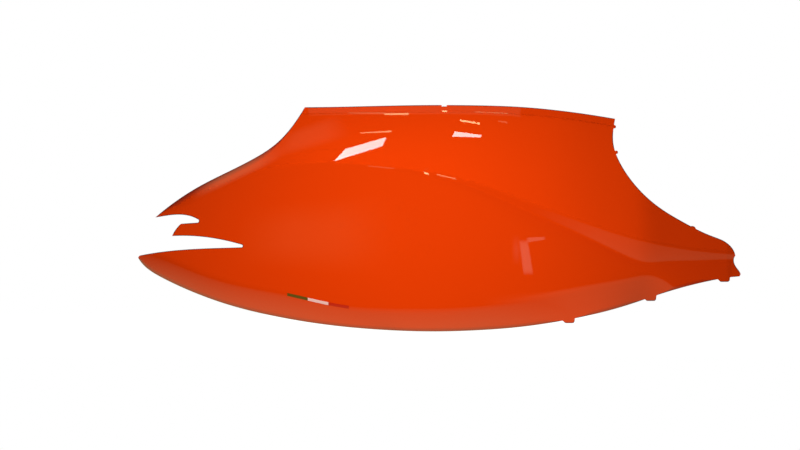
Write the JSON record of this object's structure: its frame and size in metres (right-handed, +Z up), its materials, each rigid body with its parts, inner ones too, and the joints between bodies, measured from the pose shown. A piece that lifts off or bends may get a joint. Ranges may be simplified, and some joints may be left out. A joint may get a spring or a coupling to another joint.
{
  "type": "scooter side panel",
  "caption": "Moulded rear side panel for a motor scooter: a curved painted skin with tail slots, seat rail ears, bottom tabs and a thin tricolour strip.",
  "frame": {"origin": "midway between the two seat rail screw holes, on the top face of their ears", "axes": "+X forward along the scooter, +Y to its left (inboard, so the painted face looks along -Y), +Z up"},
  "size_m": [0.783, 0.105, 0.2934],
  "materials": {
    "orange_paint": "high gloss orange paint on a moulded skin",
    "green_foil": "gloss printed foil",
    "white_foil": "gloss printed foil",
    "red_foil": "gloss printed foil"
  },
  "bodies": {
    "root": {"side_panel": "orange_paint", "strip_green": "green_foil", "strip_white": "white_foil", "strip_red": "red_foil"}
  },
  "joints": []
}
